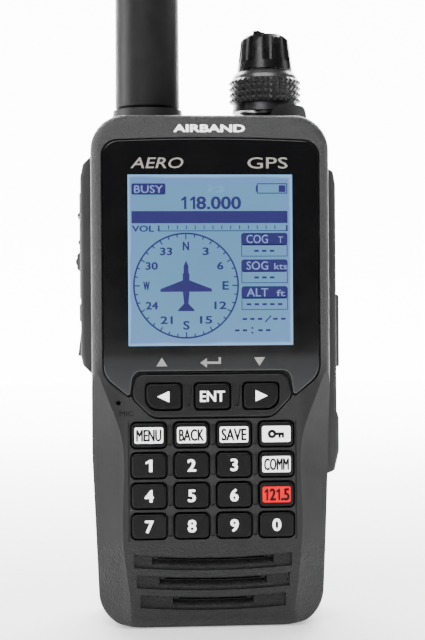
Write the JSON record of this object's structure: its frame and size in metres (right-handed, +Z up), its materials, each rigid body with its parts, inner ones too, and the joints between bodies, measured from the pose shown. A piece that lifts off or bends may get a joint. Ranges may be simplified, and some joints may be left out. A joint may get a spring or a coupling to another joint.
{
  "type": "handheld aviation radio",
  "caption": "Handheld aviation radio with tall display, keypad, navigation keys, speaker slots, stacked rotary knobs and a long rubber aerial.",
  "frame": {"origin": "middle of the flat base the radio stands on", "axes": "+Z up along the aerial, the display faces -Y, +X to the right seen from the front"},
  "size_m": [0.0692, 0.0362, 0.299],
  "materials": {
    "case_plastic": "textured",
    "window_gloss": "gloss",
    "lcd_glass": "gloss",
    "inner_plastic": "satin",
    "key_rubber": "matte",
    "circuit_board": "satin",
    "steel": "satin",
    "ceramic": "matte",
    "brass_plating": "satin",
    "aerial_core_plastic": "matte",
    "knob_plastic": "gloss",
    "collar_metal": "satin",
    "cell_wrap": "satin"
  },
  "bodies": {
    "radio": {"front_case": "case_plastic", "rear_chassis": "case_plastic", "left_side_plate": "case_plastic", "right_side_plate": "case_plastic", "nav_bezel": "case_plastic", "display_window": "window_gloss", "lcd_panel": "lcd_glass", "lcd_holder": "inner_plastic", "control_body": "inner_plastic", "headset_socket": "inner_plastic", "power_socket": "inner_plastic", "keypad_mat": "key_rubber", "case_gasket": "key_rubber", "aerial_sheath": "key_rubber", "main_board": "circuit_board", "side_switch_board": "circuit_board", "case_screws": "steel", "rf_shield": "steel", "speaker": "steel", "microphone": "steel", "latch_pin": "steel", "position_aerial": "ceramic", "aerial_jack": "brass_plating", "aerial_plug": "brass_plating", "chassis_contacts": "brass_plating", "aerial_core": "aerial_core_plastic", "control_nut": "collar_metal"},
    "key_menu": {"key_menu": "key_rubber"},
    "key_back": {"key_back": "key_rubber"},
    "key_save": {"key_save": "key_rubber"},
    "key_lock": {"key_lock": "key_rubber"},
    "key_1": {"key_1": "key_rubber"},
    "key_2": {"key_2": "key_rubber"},
    "key_3": {"key_3": "key_rubber"},
    "key_comm": {"key_comm": "key_rubber"},
    "key_4": {"key_4": "key_rubber"},
    "key_5": {"key_5": "key_rubber"},
    "key_6": {"key_6": "key_rubber"},
    "key_emergency": {"key_emergency": "key_rubber"},
    "key_7": {"key_7": "key_rubber"},
    "key_8": {"key_8": "key_rubber"},
    "key_9": {"key_9": "key_rubber"},
    "key_0": {"key_0": "key_rubber"},
    "key_left": {"key_left": "key_rubber"},
    "key_enter": {"key_enter": "key_rubber"},
    "key_right": {"key_right": "key_rubber"},
    "ptt": {"ptt_button": "key_rubber"},
    "monitor": {"monitor_button": "key_rubber"},
    "lamp": {"lamp_button": "key_rubber"},
    "dial": {"dial_knob": "knob_plastic", "dial_collar": "collar_metal", "dial_shaft": "steel"},
    "volume": {"volume_knob": "knob_plastic", "volume_shaft": "steel"},
    "headset_cover": {"headset_cover": "key_rubber"},
    "power_cover": {"power_cover": "key_rubber"},
    "latch": {"battery_latch": "case_plastic"},
    "battery": {"battery_case": "case_plastic", "battery_cover": "case_plastic", "battery_cells": "cell_wrap"}
  },
  "joints": [
    {"name": "key_menu_press", "type": "slide", "parent": "radio", "child": "key_menu", "axis": [0, 1, 0], "range_m": [0, 0.0005], "stiffness_N_per_m": 300, "springref_m": -0.0005},
    {"name": "key_back_press", "type": "slide", "parent": "radio", "child": "key_back", "axis": [0, 1, 0], "range_m": [0, 0.0005], "stiffness_N_per_m": 300, "springref_m": -0.0005},
    {"name": "key_save_press", "type": "slide", "parent": "radio", "child": "key_save", "axis": [0, 1, 0], "range_m": [0, 0.0005], "stiffness_N_per_m": 300, "springref_m": -0.0005},
    {"name": "key_lock_press", "type": "slide", "parent": "radio", "child": "key_lock", "axis": [0, 1, 0], "range_m": [0, 0.0005], "stiffness_N_per_m": 300, "springref_m": -0.0005},
    {"name": "key_1_press", "type": "slide", "parent": "radio", "child": "key_1", "axis": [0, 1, 0], "range_m": [0, 0.0005], "stiffness_N_per_m": 300, "springref_m": -0.0005},
    {"name": "key_2_press", "type": "slide", "parent": "radio", "child": "key_2", "axis": [0, 1, 0], "range_m": [0, 0.0005], "stiffness_N_per_m": 300, "springref_m": -0.0005},
    {"name": "key_3_press", "type": "slide", "parent": "radio", "child": "key_3", "axis": [0, 1, 0], "range_m": [0, 0.0005], "stiffness_N_per_m": 300, "springref_m": -0.0005},
    {"name": "key_comm_press", "type": "slide", "parent": "radio", "child": "key_comm", "axis": [0, 1, 0], "range_m": [0, 0.0005], "stiffness_N_per_m": 300, "springref_m": -0.0005},
    {"name": "key_4_press", "type": "slide", "parent": "radio", "child": "key_4", "axis": [0, 1, 0], "range_m": [0, 0.0005], "stiffness_N_per_m": 300, "springref_m": -0.0005},
    {"name": "key_5_press", "type": "slide", "parent": "radio", "child": "key_5", "axis": [0, 1, 0], "range_m": [0, 0.0005], "stiffness_N_per_m": 300, "springref_m": -0.0005},
    {"name": "key_6_press", "type": "slide", "parent": "radio", "child": "key_6", "axis": [0, 1, 0], "range_m": [0, 0.0005], "stiffness_N_per_m": 300, "springref_m": -0.0005},
    {"name": "key_emergency_press", "type": "slide", "parent": "radio", "child": "key_emergency", "axis": [0, 1, 0], "range_m": [0, 0.0005], "stiffness_N_per_m": 300, "springref_m": -0.0005},
    {"name": "key_7_press", "type": "slide", "parent": "radio", "child": "key_7", "axis": [0, 1, 0], "range_m": [0, 0.0005], "stiffness_N_per_m": 300, "springref_m": -0.0005},
    {"name": "key_8_press", "type": "slide", "parent": "radio", "child": "key_8", "axis": [0, 1, 0], "range_m": [0, 0.0005], "stiffness_N_per_m": 300, "springref_m": -0.0005},
    {"name": "key_9_press", "type": "slide", "parent": "radio", "child": "key_9", "axis": [0, 1, 0], "range_m": [0, 0.0005], "stiffness_N_per_m": 300, "springref_m": -0.0005},
    {"name": "key_0_press", "type": "slide", "parent": "radio", "child": "key_0", "axis": [0, 1, 0], "range_m": [0, 0.0005], "stiffness_N_per_m": 300, "springref_m": -0.0005},
    {"name": "key_left_press", "type": "slide", "parent": "radio", "child": "key_left", "axis": [0, 1, 0], "range_m": [0, 0.0005], "stiffness_N_per_m": 300, "springref_m": -0.0005},
    {"name": "key_enter_press", "type": "slide", "parent": "radio", "child": "key_enter", "axis": [0, 1, 0], "range_m": [0, 0.0005], "stiffness_N_per_m": 300, "springref_m": -0.0005},
    {"name": "key_right_press", "type": "slide", "parent": "radio", "child": "key_right", "axis": [0, 1, 0], "range_m": [0, 0.0005], "stiffness_N_per_m": 300, "springref_m": -0.0005},
    {"name": "ptt_press", "type": "slide", "parent": "radio", "child": "ptt", "axis": [1, 0, 0], "range_m": [0, 0.0007], "stiffness_N_per_m": 500, "springref_m": -0.0007},
    {"name": "monitor_press", "type": "slide", "parent": "radio", "child": "monitor", "axis": [1, 0, 0], "range_m": [0, 0.0007], "stiffness_N_per_m": 300, "springref_m": -0.0007},
    {"name": "lamp_press", "type": "slide", "parent": "radio", "child": "lamp", "axis": [1, 0, 0], "range_m": [0, 0.0007], "stiffness_N_per_m": 300, "springref_m": -0.0007},
    {"name": "dial_turn", "type": "hinge", "parent": "radio", "child": "dial", "pos_m": [0.0169, 0.008, 0.14], "axis": [0, 0, 1], "continuous": true},
    {"name": "volume_turn", "type": "hinge", "parent": "radio", "child": "volume", "pos_m": [0.0169, 0.008, 0.14], "axis": [0, 0, -1], "range_deg": [0, 290]},
    {"name": "headset_cover_swing", "type": "hinge", "parent": "radio", "child": "headset_cover", "pos_m": [0.0324, 0.005, 0.102], "axis": [0, 0, 1], "range_deg": [0, 100]},
    {"name": "power_cover_swing", "type": "hinge", "parent": "radio", "child": "power_cover", "pos_m": [0.0324, 0.005, 0.0755], "axis": [0, 0, 1], "range_deg": [0, 75]},
    {"name": "latch_swing", "type": "hinge", "parent": "radio", "child": "latch", "pos_m": [0, 0.0146, 0.0029], "axis": [-1, 0, 0], "range_deg": [0, 90]},
    {"name": "battery_pull", "type": "slide", "parent": "radio", "child": "battery", "axis": [0, 1, 0], "range_m": [0, 0.01178]}
  ],
  "couplings": [
    {"joint": "latch_swing", "follows": "battery_pull", "rad_per_m": 133.33}
  ]
}
